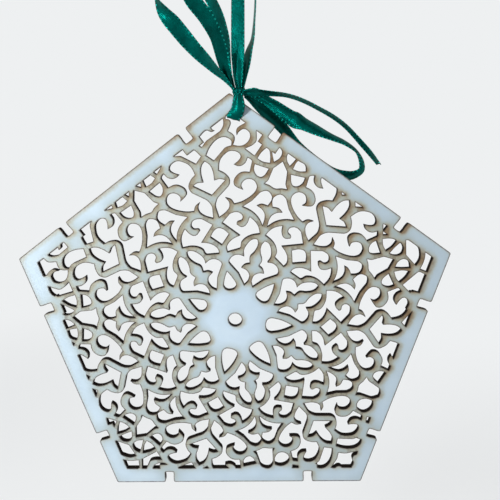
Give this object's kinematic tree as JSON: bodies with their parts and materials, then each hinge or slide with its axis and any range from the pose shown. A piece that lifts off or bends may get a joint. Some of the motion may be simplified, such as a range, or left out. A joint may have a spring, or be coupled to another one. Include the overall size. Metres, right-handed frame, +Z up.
{
  "type": "hanging ornament",
  "caption": "Pentagonal laser-cut plywood ornament with arabesque mandala fretwork, painted pale blue, hung on a satin ribbon loop tied at its top corner in a bow.",
  "frame": {"origin": "where the hook bears on the inside of the hanging loop's bend", "axes": "+Z up, +X to the right along the panel as seen from its painted face, +Y from the painted face through to the back"},
  "size_m": [0.2181, 0.0347, 0.2862],
  "materials": {
    "painted_plywood": "thin matt paint with scorched laser-cut edges",
    "green_satin": "satin weave"
  },
  "bodies": {
    "loop_top": {"hanging_loop_top": "green_satin"},
    "loop_strands": {"hanging_strand_left": "green_satin", "hanging_strand_right": "green_satin"},
    "ornament": {"fretwork_panel": "painted_plywood", "ribbon_wrap": "green_satin", "ribbon_knot": "green_satin", "bow_loop_left": "green_satin", "bow_tail_left": "green_satin", "bow_loop_right": "green_satin", "bow_tail_right": "green_satin"}
  },
  "joints": [
    {"name": "turn", "type": "hinge", "parent": "loop_top", "child": "loop_strands", "pos_m": [0, 0, -0.036], "axis": [0, 0, 1], "range_deg": [-90, 90]},
    {"name": "panel_swing", "type": "hinge", "parent": "loop_strands", "child": "ornament", "pos_m": [-0.00465, 0, -0.0775], "axis": [1, 0, 0], "range_deg": [-60, 60]}
  ]
}
